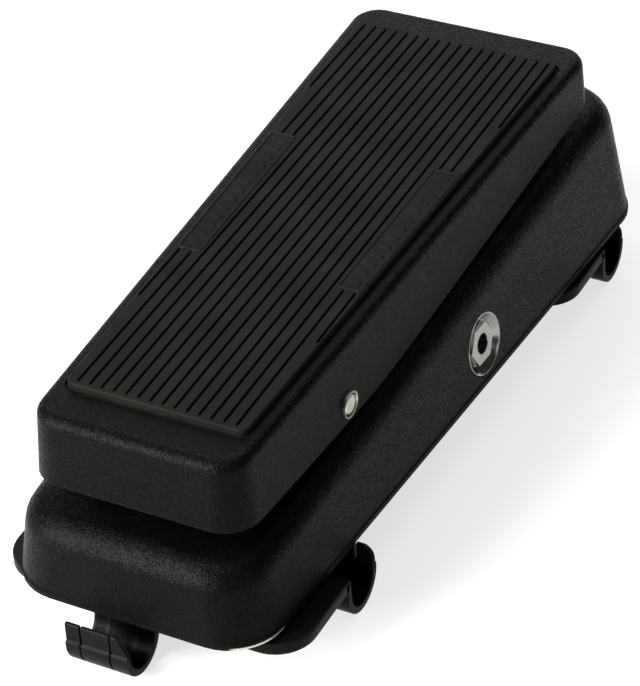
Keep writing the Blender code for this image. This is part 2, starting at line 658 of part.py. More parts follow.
# ---- clip-on brackets: a plate with a spring hook on its heel edge and one on its toe edge ----
def hook(x0, edge_y, way):
    centre_u = hook_inner + 0.3
    centre_v = bracket_top - hook_drop
    outer = hook_inner + hook_wall
    line = [(-3.0, bracket_top - 0.05), (0.0, bracket_top - 0.05)]
    for i in range(13):
        a = math.radians(180.0 + 15.0 * i)
        line.append((centre_u + hook_inner * math.cos(a), centre_v + hook_inner * math.sin(a)))
    line.append((centre_u + hook_inner + 0.3, bracket_top + 0.3))
    line.append((centre_u + outer - 1.0, bracket_top + 0.6))
    line.append((centre_u + outer - 0.7, bracket_top + 0.2))
    line.append((centre_u + outer - 0.7, bracket_top - 5.6))
    line.append((hook_reach, bracket_top - 6.2))
    for i in range(17):
        a = math.radians(-180.0 / 16 * i)
        line.append((centre_u + outer * math.cos(a), centre_v + outer * math.sin(a)))
    line.append((centre_u - outer, bracket_top - bracket_thick + 0.05))
    line.append((-3.0, bracket_top - bracket_thick + 0.05))
    outline = [(edge_y + way * u, v) for u, v in line]
    data = prism_x(outline, x0, x0 + hook_width)
    steps = []
    for start in (finger_width, hook_width - finger_width - finger_slot):
        low, high = sorted((edge_y + way * (centre_u + 4.0), edge_y + way * (centre_u + 12.0)))
        steps.append((CUT, box(x0 + start, x0 + start + finger_slot, low, high, bracket_top - 5.2, 5.0)))
    return combine(data, steps)


for name, edge, slide in (("bracket_heel", heel_bracket_y, 0.0),
                          ("bracket_toe", toe_bracket_y, toe_bracket_shift)):
    low = slide - bracket_half
    high = slide + bracket_half
    radii = (bracket_corner, bracket_corner, 1.0, bracket_corner)
    plan = rounded(low, high, edge, edge + bracket_depth, radii)
    trimmed = rounded(low + 0.8, high - 0.8, edge + 0.8, edge + bracket_depth - 0.8,
                      (bracket_corner - 0.8, bracket_corner - 0.8, 0.6, bracket_corner - 0.8))
    slab = loft([[(x, y, bracket_top - bracket_thick) for x, y in trimmed],
                 [(x, y, bracket_top - bracket_thick + 0.8) for x, y in plan],
                 [(x, y, bracket_top) for x, y in plan]])
    steps = [(JOIN, hook(slide - 16.0, edge, -1)),
             (JOIN, hook(high - 0.02 - hook_width, edge + bracket_depth, 1))]
    piece(name, combine(slab, steps), moulded)
pad_top = -gap
pad_low = bracket_top + gap
for name, edge, half in (("adhesive_pad_heel", heel_bracket_y + 5.3, heel_half_width - 5.2),
                         ("adhesive_pad_toe", toe_bracket_y + 3.5, toe_half_width - 7.4)):
    outline = rounded(-half, half, edge, edge + 24.0, (2.0,) * 4, 4)
    piece(name, prism_z(outline, pad_low, pad_top), foam)
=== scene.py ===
"""Looks of a rocker effects pedal that stands on two clip-on board brackets."""
import math

import bmesh
import bpy
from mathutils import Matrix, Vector


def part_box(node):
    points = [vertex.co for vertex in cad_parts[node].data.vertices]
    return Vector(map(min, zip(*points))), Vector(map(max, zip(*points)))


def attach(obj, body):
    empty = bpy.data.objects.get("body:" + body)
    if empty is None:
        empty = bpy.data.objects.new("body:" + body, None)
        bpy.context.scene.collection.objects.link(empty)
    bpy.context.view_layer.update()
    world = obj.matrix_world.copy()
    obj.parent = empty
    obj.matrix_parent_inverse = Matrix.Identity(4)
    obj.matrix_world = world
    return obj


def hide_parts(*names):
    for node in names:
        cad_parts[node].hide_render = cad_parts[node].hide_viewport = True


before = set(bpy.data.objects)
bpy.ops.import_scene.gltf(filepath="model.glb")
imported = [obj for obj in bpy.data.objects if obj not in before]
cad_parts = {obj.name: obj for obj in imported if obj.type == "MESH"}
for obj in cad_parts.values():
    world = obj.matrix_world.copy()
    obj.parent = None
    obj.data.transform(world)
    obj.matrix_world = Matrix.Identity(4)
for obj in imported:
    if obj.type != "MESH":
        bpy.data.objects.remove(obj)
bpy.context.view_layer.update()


# ---- Base casting ----
# The housing is one die casting, open below, drawn in towards its rim with wide soft corners.
# It is blasted and powder coated black, so its skin is a fine pebble that sparkles where a
# rounded edge turns to the light.
def node(tree, kind, inputs=None, **settings):
    made = tree.nodes.new("ShaderNode" + kind)
    for key, value in settings.items():
        setattr(made, key, value)
    for socket, source in (inputs or {}).items():
        if isinstance(source, bpy.types.NodeSocket):
            tree.links.new(source, made.inputs[socket])
        else:
            made.inputs[socket].default_value = source
    return made.outputs


def finish(name, colour, rough, metal=0.0, shine=0.5, patch_mm=11.0, patchy=0.2, grain="pebble",
           grain_mm=0.8, grain_deep=0.06, edge_highlight=None, edge_highlight_mm=0.6, facet=0.0):
    """A surface with patches of lighter and darker colour, a grain that stands up, and a painted highlight
    that lightens its rounded edges.
    A pebble grain is made of small facets, each leaning its own way by up to half of facet."""
    look = bpy.data.materials.new(name)
    look.use_nodes = True
    tree = look.node_tree
    shader = tree.nodes["Principled BSDF"]
    shader.inputs["Metallic"].default_value = metal
    shader.inputs["Specular IOR Level"].default_value = shine
    place = node(tree, "TexCoord")["Object"]
    patches = node(tree, "TexNoise", {"Vector": place, "Scale": 1000 / patch_mm, "Detail": 5.0})["Fac"]
    shade = tree.nodes.new("ShaderNodeValToRGB")
    shade.color_ramp.elements[0].position = 0.3
    shade.color_ramp.elements[1].position = 0.7
    shade.color_ramp.elements[0].color = (*[c * (1 - patchy) for c in colour], 1)
    shade.color_ramp.elements[1].color = (*[c * (1 + patchy) for c in colour], 1)
    tree.links.new(patches, shade.inputs["Fac"])
    skin = shade.outputs["Color"]
    fine = node(tree, "TexNoise", {"Vector": place, "Scale": 1300 / grain_mm, "Detail": 4.0})["Fac"]
    gloss = node(tree, "MapRange", {"Value": fine, "From Min": 0.3, "From Max": 0.7,
                                    "To Min": rough[0], "To Max": rough[1]})["Result"]
    lean = None
    if grain == "pebble":
        cells = node(tree, "TexVoronoi", {"Vector": place, "Scale": 1000 / grain_mm, "Smoothness": 0.6},
                     feature="SMOOTH_F1")["Distance"]
        height = node(tree, "Math", {0: fine, 1: 0.5, 2: cells}, operation="MULTIPLY_ADD")["Value"]
        chip = node(tree, "TexVoronoi", {"Vector": place, "Scale": 1300 / grain_mm})["Color"]
        chip = node(tree, "VectorMath", {0: chip, 1: (0.5, 0.5, 0.5)}, operation="SUBTRACT")["Vector"]
        chip = node(tree, "VectorMath", {0: chip, "Scale": facet}, operation="SCALE")["Vector"]
        lean = node(tree, "VectorMath", {0: chip, 1: node(tree, "NewGeometry")["Normal"]},
                    operation="ADD")["Vector"]
        lean = node(tree, "VectorMath", {0: lean}, operation="NORMALIZE")["Vector"]
    elif grain == "brushed":
        drawn = node(tree, "Mapping", {"Vector": place, "Scale": (0.05, 1.0, 1.0)})["Vector"]
        height = node(tree, "TexNoise", {"Vector": drawn, "Scale": 2500 / grain_mm, "Detail": 3.0})["Fac"]
    else:
        height = fine
    bump = node(tree, "Bump", {"Height": height, "Distance": grain_deep / 1000, "Strength": 1.0})
    tree.links.new(bump["Normal"], shader.inputs["Normal"])
    if lean:
        tree.links.new(lean, bump["Normal"].node.inputs["Normal"])
    # Painted highlight: where the Bevel node's rounded normal turns away from the true normal, the colour
    # is mixed up to half way towards the lighter edge colour, broken up by the patches.
    if edge_highlight:
        soft = node(tree, "Bevel", {"Radius": edge_highlight_mm / 1000}, samples=4)["Normal"]
        hard = node(tree, "NewGeometry")["Normal"]
        turn = node(tree, "VectorMath", {0: soft, 1: hard}, operation="DOT_PRODUCT")["Value"]
        edge = node(tree, "MapRange", {"Value": turn, "From Min": 0.998, "From Max": 0.93,
                                       "To Min": 0.0, "To Max": 0.5})["Result"]
        edge = node(tree, "Math", {0: edge, 1: patches}, operation="MULTIPLY")["Value"]
        mixed = node(tree, "Mix", {0: edge, 6: skin, 7: (*edge_highlight, 1)}, data_type="RGBA")
        skin = mixed[2]
    tree.links.new(skin, shader.inputs["Base Color"])
    tree.links.new(gloss, shader.inputs["Roughness"])
    look.diffuse_color = (*colour, 1)
    return look


def dressed(item, body, slot_name, look, *stands_for, edge_mm=0.0, corner=32.0):
    """Smooths the piece, breaks its sharp edges, gives it its finish and hangs it on its body."""
    item.data.materials.clear()
    item.data.materials.append(look)
    for face in item.data.polygons:
        face.use_smooth = True
    if edge_mm:
        broken = item.modifiers.new("broken_edge", "BEVEL")
        broken.width = edge_mm / 1000
        broken.segments = 2
        broken.limit_method = "ANGLE"
        broken.angle_limit = math.radians(corner)
        broken.harden_normals = True
    else:
        item.data.set_sharp_from_angle(angle=math.radians(corner))
    flat = item.modifiers.new("flat_faces_stay_flat", "WEIGHTED_NORMAL")
    flat.keep_sharp = True
    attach(item, body)
    if stands_for:
        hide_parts(*stands_for)


def placed(name, data):
    """A new object in the scene with this mesh, light or camera."""
    item = bpy.data.objects.new(name, data)
    bpy.context.scene.collection.objects.link(item)
    return item


def skinned(name, points, faces):
    """A closed shape from its corners and faces, every face turned outwards."""
    mesh = bpy.data.meshes.new(name)
    mesh.from_pydata(points, [], faces)
    work = bmesh.new()
    work.from_mesh(mesh)
    bmesh.ops.recalc_face_normals(work, faces=work.faces)
    work.to_mesh(mesh)
    work.free()
    return placed(name, mesh)


def fettled(packed, name):
    """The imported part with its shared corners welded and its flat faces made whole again."""
    work = bmesh.new()
    work.from_mesh(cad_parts[packed].data)
    bmesh.ops.remove_doubles(work, verts=work.verts, dist=0.000002)
    bmesh.ops.dissolve_limit(work, angle_limit=math.radians(0.3), verts=work.verts, edges=work.edges)
    work.verts.index_update()
    points = [v.co.copy() for v in work.verts]
    faces = [[v.index for v in f.verts] for f in work.faces]
    work.free()
    mesh = bpy.data.meshes.new(name)
    mesh.from_pydata(points, [], faces)
    return placed(name, mesh)


# The coat's rounded edges get a painted highlight: a lighter grey mixed in along every rounding.
powder = finish("black_powder_coat", (0.0017, 0.0016, 0.0013), (0.31, 0.43), shine=0.046, patchy=0.10,
                grain_mm=0.44, grain_deep=0.09, facet=0.40, edge_highlight=(0.022, 0.021, 0.019))


def turned(name, profile, centre, out=(1, 0, 0), sides=96, hollow=True):
    """A ring or knob spun about out, from (distance out, radius) points in millimetres."""
    swing = Vector((1, 0, 0)).rotation_difference(Vector(out))
    points = []
    faces = []
    for along, radius in profile:
        for k in range(sides):
            a = 2 * math.pi * k / sides
            spoke = Vector((along, radius * math.cos(a), radius * math.sin(a))) / 1000
            points.append(Vector(centre) + swing @ spoke)
    count = len(profile)
    for level in range(count if hollow else count - 1):
        after = (level + 1) % count
        for k in range(sides):
            j = (k + 1) % sides
            faces.append([level * sides + k, level * sides + j, after * sides + j, after * sides + k])
    if not hollow:
        faces += [list(range(sides)), [(count - 1) * sides + k for k in range(sides)]]
    return skinned(name, points, faces)


def carved(item, tool):
    """Cuts the tool out of the item for good."""
    cut = item.modifiers.new("cut", "BOOLEAN")
    cut.operation = "DIFFERENCE"
    cut.solver = "EXACT"
    cut.object = tool
    graph = bpy.context.evaluated_depsgraph_get()
    result = bpy.data.meshes.new_from_object(item.evaluated_get(graph))
    item.modifiers.clear()
    item.data = result
    bpy.data.objects.remove(tool, do_unlink=True)
    return item


def jack_seat(label, side):
    """The middle of a jack's seat on the side wall, and the way the wall faces there."""
    low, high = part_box(label + "_jack_washer")
    wall = (high.x if side > 0 else low.x) - side * 0.0014
    middle = Vector((wall, (low.y + high.y) / 2, (low.z + high.z) / 2))
    return middle, Vector((side, -0.051, 0.14)).normalized()


housing = fettled("base_casting", "housing")
for label, side in (("input", 1), ("output", -1)):
    middle, out = jack_seat(label, side)
    seat = [(-3.15, 7.6), (-0.55, 9.75), (0.0, 9.85), (6.0, 9.85)]
    carved(housing, turned("seat", seat, middle, out, hollow=False))
housing.data.name = "housing"
dressed(housing, "base", "powder", powder, "base_casting")

# ---- Bottom plate ----
# A sheet steel plate, blanked to the housing's outline and coated black like it, held by four
# zinc plated countersunk screws. Its edge is rubbed back to bare steel at the heel's right corner.
zinc = finish("zinc_plate", (0.42, 0.42, 0.40), (0.28, 0.48), metal=1.0, patchy=0.12, patch_mm=6.0,
              grain="brushed", grain_mm=0.5, grain_deep=0.006)
plate_coat = finish("black_plate_coat", (0.0030, 0.0028, 0.0023), (0.4, 0.55), shine=0.035, patchy=0.14,
                    grain_mm=0.5, grain_deep=0.2, facet=0.4)
coat_tree = plate_coat.node_tree
coat_shader = coat_tree.nodes["Principled BSDF"]
low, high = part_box("bottom_plate")
rubbed_spot = (high.x - 0.0145, low.y + 0.0078, low.z)
seam = 0.00027
place = node(coat_tree, "TexCoord")["Object"]
away = node(coat_tree, "VectorMath", {0: place, 1: rubbed_spot}, operation="DISTANCE")["Value"]
near = node(coat_tree, "MapRange", {"Value": away, "From Min": 0.0088, "From Max": 0.0074,
                                    "To Min": 0.0, "To Max": 1.0})["Result"]
up = node(coat_tree, "SeparateXYZ", {"Vector": place})["Z"]
foot = node(coat_tree, "MapRange", {"Value": up, "From Min": low.z + 0.00075,
                                    "From Max": low.z + 0.00055, "To Min": 0.0, "To Max": 1.0})["Result"]
bare = node(coat_tree, "Math", {0: near, 1: foot}, operation="MULTIPLY")["Value"]
coat = coat_shader.inputs["Base Color"].links[0].from_socket
skin = node(coat_tree, "Mix", {0: bare, 6: coat, 7: (0.6, 0.58, 0.54, 1)}, data_type="RGBA")[2]
coat_tree.links.new(skin, coat_shader.inputs["Base Color"])
coat_tree.links.new(bare, coat_shader.inputs["Metallic"])
floor_plate = fettled("bottom_plate", "floor_plate")
for point in floor_plate.data.vertices:
    if point.co.z > (low.z + high.z) / 2:
        point.co.z = high.z + seam
dressed(floor_plate, "base", "zinc", plate_coat, "bottom_plate")
for number in range(1, 5):
    screw = fettled("plate_screw_%d" % number, "floor_screw_%d" % number)
    dressed(screw, "base", "zinc", zinc, "plate_screw_%d" % number, edge_mm=0.1)

# ---- Circuit board and its parts ----
# A glass laminate board with green solder mask on two self-tapping screws. The inductor can and
# two capacitors have shrunk sleeves, and the transistor is moulded resin.
mask = finish("green_solder_mask", (0.010, 0.085, 0.032), (0.28, 0.42), patchy=0.25, patch_mm=4.0,
              grain="fine", grain_mm=0.6, grain_deep=0.02)
sleeve = finish("blue_sleeve", (0.035, 0.05, 0.16), (0.3, 0.45), patchy=0.12, grain="fine",
                grain_mm=1.4, grain_deep=0.02)
resin = finish("black_resin", (0.012, 0.012, 0.012), (0.4, 0.55), shine=0.4, patchy=0.15, grain="fine",
               grain_mm=0.5, grain_deep=0.015)
dressed(fettled("circuit_board", "board"), "base", "laminate", mask, "circuit_board", edge_mm=0.1)
for number in (1, 2):
    screw = fettled("board_screw_%d" % number, "board_fixing_%d" % number)
    dressed(screw, "base", "zinc", zinc, "board_screw_%d" % number, edge_mm=0.1)
for packed in ("inductor_can", "capacitor_large", "capacitor_small"):
    dressed(fettled(packed, packed + "_sleeved"), "base", "wound", sleeve, packed, edge_mm=0.25)
dressed(fettled("transistor", "transistor_case"), "base", "moulded", resin, "transistor", edge_mm=0.3)

# ---- Battery and its clip ----
# A nine volt block in a metal jacket with a printed wrap, under a bent spring steel clip.
wrap = finish("battery_wrap", (0.06, 0.06, 0.07), (0.25, 0.4), metal=0.4, patchy=0.1, grain="fine",
              grain_mm=2.0, grain_deep=0.01)
dressed(fettled("battery", "battery_block"), "base", "cell", wrap, "battery", edge_mm=0.6)
dressed(fettled("battery_clip", "battery_spring"), "base", "zinc", zinc, "battery_clip", edge_mm=0.15)

# ---- Potentiometer, rack and guide ----
# The treadle pulls a white nylon rack up and down in a black guide. It turns the nylon pinion on
# the potentiometer, which hangs from the housing on a folded steel bracket.
# The nylon's rounded edges get a painted highlight: a lighter white mixed in along every rounding.
nylon = finish("white_nylon", (0.62, 0.60, 0.53), (0.38, 0.55), patchy=0.08, grain="fine", grain_mm=1.0,
               grain_deep=0.012, edge_highlight=(0.72, 0.70, 0.64))
for packed, body in (("rack_bar", "rack"), ("pot_shaft", "pinion")):
    dressed(fettled(packed, packed + "_moulding"), body, "nylon", nylon, packed)
for packed in ("pot_body", "pot_bracket", "pot_nut"):
    dressed(fettled(packed, packed + "_plated"), "base", "zinc", zinc, packed, edge_mm=0.12)
dressed(fettled("rack_guide", "rack_slide_guide"), "base", "moulded", resin, "rack_guide", edge_mm=0.2)

# ---- Toe footswitch ----
# A heavy latching switch screwed up through the housing's toe, with a plated collar and nut and a
# polished button that a rubber pad under the treadle presses.
chrome = finish("polished_chrome", (0.30, 0.31, 0.31), (0.16, 0.26), metal=1.0, patchy=0.05, patch_mm=4.0,
                grain="fine", grain_mm=4.0, grain_deep=0.006)
# The rubber's rounded edges, the mat's top edge among them, get a painted highlight: a lighter grey mixed
# in along every rounding.
rubber = finish("moulded_rubber", (0.0088, 0.0088, 0.0081), (0.42, 0.58), shine=0.025, patchy=0.2,
                patch_mm=16.0, grain="fine", grain_mm=0.35, grain_deep=0.02,
                edge_highlight=(0.03, 0.03, 0.029), edge_highlight_mm=0.4)
dressed(fettled("footswitch_body", "switch_frame"), "base", "zinc", zinc, "footswitch_body")
dressed(fettled("footswitch_nut", "switch_nut"), "base", "zinc", zinc, "footswitch_nut", edge_mm=0.15)
dressed(fettled("footswitch_plunger", "switch_button"), "plunger", "chrome", chrome,
        "footswitch_plunger", edge_mm=0.15)
dressed(fettled("switch_pad", "switch_cushion"), "treadle", "rubber", rubber, "switch_pad", edge_mm=0.3)

# ---- Heel bumpers ----
# Two moulded rubber discs on the housing that stop the treadle when the heel goes down.
for side in ("left", "right"):
    bumper = fettled("heel_bumper_" + side, "heel_stop_" + side)
    dressed(bumper, "base", "rubber", rubber, "heel_bumper_" + side, edge_mm=0.15)

# ---- Side jacks ----
# A quarter inch jack on each side, its hexagon nut pulled down on a deep, polished cup washer.
# The washer is a pressing let into the wall, its rolled rim flush and square to the wall's slope.
nickel = finish("nickel_plate", (0.36, 0.355, 0.33), (0.22, 0.34), metal=1.0, patchy=0.10, patch_mm=2.5,
                grain="fine", grain_mm=1.2, grain_deep=0.003)
cup_half = 9.75
nut_sunk = 0.0029
nut_share = 0.95
nut_cos = nut_share * math.cos(math.radians(30.0))
nut_sin = nut_share * math.sin(math.radians(30.0))
barrel_sunk = 0.0050
for label, side in (("input", 1), ("output", -1)):
    middle, out = jack_seat(label, side)
    dish = [(-3.0, 5.0), (-3.0, 7.4), (-0.6, cup_half - 0.2), (0.0, cup_half), (0.12, cup_half - 0.06),
            (0.14, cup_half - 0.25), (0.0, cup_half - 0.5), (-0.5, cup_half - 0.95), (-1.3, cup_half - 1.6),
            (-2.0, cup_half - 2.3), (-2.4, 7.0), (-2.55, 6.4), (-2.6, 5.0)]
    cup = turned(label + "_cup_washer", dish, middle, out)
    dressed(cup, "base", "chrome", chrome, label + "_jack_washer")
    swing = Vector((side, 0, 0)).rotation_difference(out)
    nut = fettled(label + "_jack_nut", label + "_hex_nut")
    for point in nut.data.vertices:
        x, y, z = point.co - middle
        point.co = middle + swing @ Vector((x - side * nut_sunk, y * nut_cos - z * nut_sin,
                                            y * nut_sin + z * nut_cos))
    dressed(nut, "base", "zinc", nickel, label + "_jack_nut", edge_mm=0.25)
    sleeve = [(-4.2, 3.15), (-0.7, 3.15), (-0.52, 3.3), (-0.5, 4.0), (-0.52, 5.3), (-4.2, 5.3)]
    dressed(turned(label + "_bushing", sleeve, middle, out, 64), "base", "zinc", nickel)
    body = fettled(label + "_jack", label + "_socket")
    for point in body.data.vertices:
        if abs(point.co.x) > abs(middle.x) + 0.002:
            point.co.x -= side * barrel_sunk
    dressed(body, "base", "moulded", resin, label + "_jack")
dressed(fettled("power_socket", "power_inlet"), "base", "moulded", resin, "power_socket")
dressed(fettled("power_contact", "power_pin"), "base", "zinc", zinc, "power_contact", edge_mm=0.15)

# ---- Hinge ----
# A ground steel pin crosses the treadle's two side walls and turns in flanged nylon bushes, and a
# sprung steel strap drags on it so that the treadle stays where the foot leaves it.
for side in ("left", "right"):
    bush = fettled("hinge_bush_" + side, "hinge_bearing_" + side)
    dressed(bush, "base", "nylon", nylon, "hinge_bush_" + side, edge_mm=0.12)
dressed(fettled("tension_strap", "drag_strap"), "base", "zinc", zinc, "tension_strap", edge_mm=0.12)
for end in ("heel", "toe"):
    screw = fettled("strap_screw_" + end, "strap_fixing_" + end)
    dressed(screw, "base", "zinc", zinc, "strap_screw_" + end, edge_mm=0.12)
ground = finish("ground_steel", (0.50, 0.50, 0.44), (0.3, 0.42), metal=1.0, patchy=0.08, patch_mm=3.0,
                grain="fine", grain_mm=0.4, grain_deep=0.006)
dressed(fettled("hinge_pin", "hinge_axle"), "treadle", "zinc", ground, "hinge_pin", edge_mm=0.15)
low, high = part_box("hinge_pin")
for label, side, face in (("left", -1, low.x), ("right", 1, high.x)):
    seat = [(-0.9, 3.2), (0.12, 3.72), (0.2, 3.86), (0.16, 4.0), (-0.1, 4.05), (-0.9, 4.0)]
    ring = turned("axle_seat_" + label, seat, (face, (low.y + high.y) / 2, (low.z + high.z) / 2),
                  (side, 0, 0), 64)
    dressed(ring, "treadle", "zinc", zinc)
dressed(fettled("rack_pin", "rack_axle"), "treadle", "zinc", ground, "rack_pin", edge_mm=0.15)

# ---- Treadle casting ----
# The rocking plate is a second die casting with the same black powder coat, open below, with a
# small rounding round its top and a shallow seat for the mat.
dressed(fettled("treadle", "rocker"), "treadle", "powder", powder, "treadle")

# ---- Tread mat ----
# One rubber moulding dropped into the seat. Long parallel grooves leave flat ribs between them,
# and two flush panels with a thin raised outline carry a plain grip pattern of raised bars.
rise = 1.9
lip = 0.2
groove_pitch = 3.72
groove_width = 0.72
groove_deep = 0.9
panel_gap = 0.9
border = 1.9
edge_round = 0.6
low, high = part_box("tread_mat")
mat_heel = low.y * 1000 + 0.5
mat_toe = high.y * 1000 - 0.5
heel_half = 27.8
toe_half = high.x * 1000 - 0.5
heel_level = low.z * 1000 + 0.7
slope = (high.z * 1000 - rise - heel_level) / (mat_toe - 0.6 - (mat_heel - 0.5))


def level(y):
    """Height of the treadle's top under the mat at a distance along it."""
    return heel_level + slope * (y - (mat_heel - 0.5))


def half_at(y):
    """Half the mat's width at a distance along it."""
    return heel_half + (toe_half - heel_half) * (y - mat_heel) / (mat_toe - mat_heel)


def mat_outline(trim, up, corner=3.0, turns=10):
    """The mat's outline, drawn in by trim and lifted by up from the treadle's top."""
    ring = []
    round_by = max(corner - trim, 0.6)
    for side, y, start in ((1, mat_heel + trim, -90), (1, mat_toe - trim, 0),
                           (-1, mat_toe - trim, 90), (-1, mat_heel + trim, 180)):
        half = (heel_half if y < 0 else toe_half) - trim
        inner = y + round_by if y < 0 else y - round_by
        for k in range(turns):
            a = math.radians(start + 90.0 * k / (turns - 1))
            x = side * (half - round_by) + round_by * math.cos(a)
            ring.append((x, inner + round_by * math.sin(a)))
    return [(x, y, level(y) + up) for x, y in ring]


def lofted(name, rings):
    """A skin over rings of points in millimetres, its two ends closed."""
    count = len(rings[0])
    points = [tuple(c / 1000 for c in p) for ring in rings for p in ring]
    faces = [list(range(count))[::-1]]
    for k in range(len(rings) - 1):
        for i in range(count):
            j = (i + 1) % count
            faces.append([k * count + i, k * count + j, (k + 1) * count + j, (k + 1) * count + i])
    faces.append([(len(rings) - 1) * count + i for i in range(count)])
    return skinned(name, points, faces)


def joined(name, items):
    """Several loose shapes made into one object."""
    work = bmesh.new()
    for item in items:
        work.from_mesh(item.data)
        bpy.data.objects.remove(item, do_unlink=True)
    mesh = bpy.data.meshes.new(name)
    work.to_mesh(mesh)
    work.free()
    return placed(name, mesh)


def groove(x, y0, y1):
    """The tool for one groove: flared lips, a rounded floor and ends that run out."""
    rings = []
    for y, deep in ((y0 - 0.5, 0.02), (y0 - 0.1, 0.5), (y0 + 0.4, 0.9), (y0 + 1.2, 1.0),
                    (y1 - 1.2, 1.0), (y1 - 0.4, 0.9), (y1 + 0.1, 0.5), (y1 + 0.5, 0.02)):
        half = groove_width / 2 * (0.55 + 0.45 * deep)
        drop = groove_deep * deep
        edge = min(lip, drop * 0.5)
        section = [(half + edge, 1.0), (half + edge, 0.0), (half + edge * 0.4, -edge * 0.35),
                   (half, -edge), (half * 0.94, -drop * 0.8), (half * 0.6, -drop)]
        section += [(-u, v) for u, v in section[::-1]]
        rings.append([(x + u, y, level(y) + rise + v) for u, v in section])
    return lofted("groove", rings)


def reach(x):
    """Where the mat becomes wide enough for a groove this far from its middle."""
    past_heel = (x + groove_width / 2 + panel_gap - heel_half) / (toe_half - heel_half)
    return mat_heel + past_heel * (mat_toe - mat_heel)


panel_heel = mat_heel + 66.2
panel_toe = mat_heel + 128.2
tools = []
across = groove_pitch / 2
while reach(across) < mat_toe - 20:
    start = max(mat_heel + border, reach(across))
    spans = [(start, mat_toe - border)]
    if across > 22.0:
        spans = [(start, panel_heel - panel_gap), (max(start, panel_toe + panel_gap), mat_toe - border)]
    for y0, y1 in spans:
        if y1 - y0 > 4.0:
            tools += [groove(across, y0, y1), groove(-across, y0, y1)]
    across += groove_pitch
foot_rings = ((-0.5, -0.7), (-0.5, -0.66), (-0.42, -0.64), (0.1, -0.62))
rings = [mat_outline(trim, up) for trim, up in foot_rings]
for k in range(7):
    a = math.radians(15.0 * k)
    rings.append(mat_outline(0.1 + edge_round * (1 - math.cos(a)), rise - edge_round * (1 - math.sin(a))))
mat = carved(lofted("mat", rings), joined("grooves", tools))
mat.data.name = "mat"
dressed(mat, "treadle", "rubber", rubber, "tread_mat", corner=40.0)


def bar(ends, wide, tall, sink=0.15):
    """A raised bar on the mat between two points, half round on top."""
    (x0, y0), (x1, y1) = ends
    run = math.hypot(x1 - x0, y1 - y0)
    along = ((x1 - x0) / run, (y1 - y0) / run)
    rings = []
    for at, share in ((0.0, 0.05), (0.06 * wide, 0.5), (0.25 * wide, 0.85), (0.5 * wide, 1.0),
                      (run - 0.5 * wide, 1.0), (run - 0.25 * wide, 0.85), (run - 0.06 * wide, 0.5),
                      (run, 0.05)):
        ring = []
        for k in range(9):
            a = math.pi * k / 8
            u = wide / 2 * share * math.cos(a)
            v = tall * share * math.sin(a)
            x = x0 + along[0] * at - along[1] * u
            y = y0 + along[1] * at + along[0] * u
            ring.append((x, y, level(y) + rise + v))
        for u in (-wide / 2 * share, wide / 2 * share):
            x = x0 + along[0] * at - along[1] * u
            y = y0 + along[1] * at + along[0] * u
            ring.append((x, y, level(y) + rise - sink))
        rings.append(ring)
    return lofted("bar", rings)


grip_bars = 13
for label, side in (("left", -1), ("right", 1)):
    inner0 = side * 21.9
    inner1 = side * 22.9
    outer0 = side * (half_at(panel_heel) - 1.2)
    outer1 = side * (half_at(panel_toe) - 1.2)
    corners = [(inner0, panel_heel), (inner1, panel_toe), (outer1, panel_toe), (outer0, panel_heel)]
    trims = [bar((corners[k], corners[(k + 1) % 4]), 0.5 + 0.2 * (k % 2), 0.22 + 0.16 * (k % 2))
             for k in range(4)]
    for k in range(grip_bars):
        y = panel_heel + 3.2 + (panel_toe - panel_heel - 6.4) * k / (grip_bars - 1)
        run = (y - panel_heel) / (panel_toe - panel_heel)
        a = inner0 + (inner1 - inner0) * run + side * 1.6
        b = outer0 + (outer1 - outer0) * run - side * 1.4
        trims.append(bar(((a, y), (b, y)), 1.5, 0.3))
    panel = joined("grip_panel_" + label, trims)
    dressed(panel, "treadle", "rubber", rubber, corner=40.0)

# ---- Clip-on brackets ----
# Each bracket is a black moulded plate stuck under the pedal with a strip of foam tape. A sprung
# hook at its heel edge and one at its toe edge snap over the rails of a pedal board.
# The brackets' rounded edges get a painted highlight: a lighter grey mixed in along every rounding.
satin = finish("black_satin_moulding", (0.0035, 0.0035, 0.0031), (0.34, 0.46), shine=0.045, patchy=0.18,
               patch_mm=7.0, grain="fine", grain_mm=0.7, grain_deep=0.02, edge_highlight=(0.03, 0.03, 0.029),
               edge_highlight_mm=0.5)
hook_wide = 19.6
hook_inner = 6.6
hook_wall = 2.2
hook_drop = 7.3
finger = 4.5
last_finger = 5.3
slit = 0.5
plate_deep = 33.3
plate_thick = 4.0
hook_reach = 2 * hook_inner + hook_wall + 0.4


def hook_line(edge, top, way, thin):
    """The J seen from its end, in (y, z): thin takes that much off its outer face."""
    centre_u = hook_inner + 0.3
    centre_v = top - hook_drop
    outer = hook_inner + hook_wall - thin
    line = [(-3.0, top - 0.06), (-0.4, top - 0.06)]
    for k in range(19):
        a = math.radians(180.0 + 10.0 * k)
        line.append((centre_u + hook_inner * math.cos(a), centre_v + hook_inner * math.sin(a)))
    if thin:
        line += [(centre_u + hook_inner, top - 5.9), (centre_u + outer, top - 5.9)]
    else:
        climb = (-5.5, -4.0, -2.8, -1.8, -1.0, -0.4, 0.1)
        line += [(centre_u + hook_inner + 0.02 * k, top + up) for k, up in enumerate(climb)]
        line += [(centre_u + hook_inner + 0.5, top + 0.5), (centre_u + outer - 1.1, top + 0.5)]
        line += [(centre_u + outer - 0.7, top + up) for up in climb[::-1]]
        line += [(centre_u + outer - 0.25, top - 5.7), (centre_u + outer, top - 6.2)]
    for k in range(22):
        a = math.radians(-180.0 / 21 * k)
        line.append((centre_u + outer * math.cos(a), centre_v + outer * math.sin(a)))
    line += [(centre_u - outer, top - plate_thick + 0.06 + thin), (-3.0, top - plate_thick + 0.06 + thin)]
    return [(edge + way * u, v) for u, v in line]


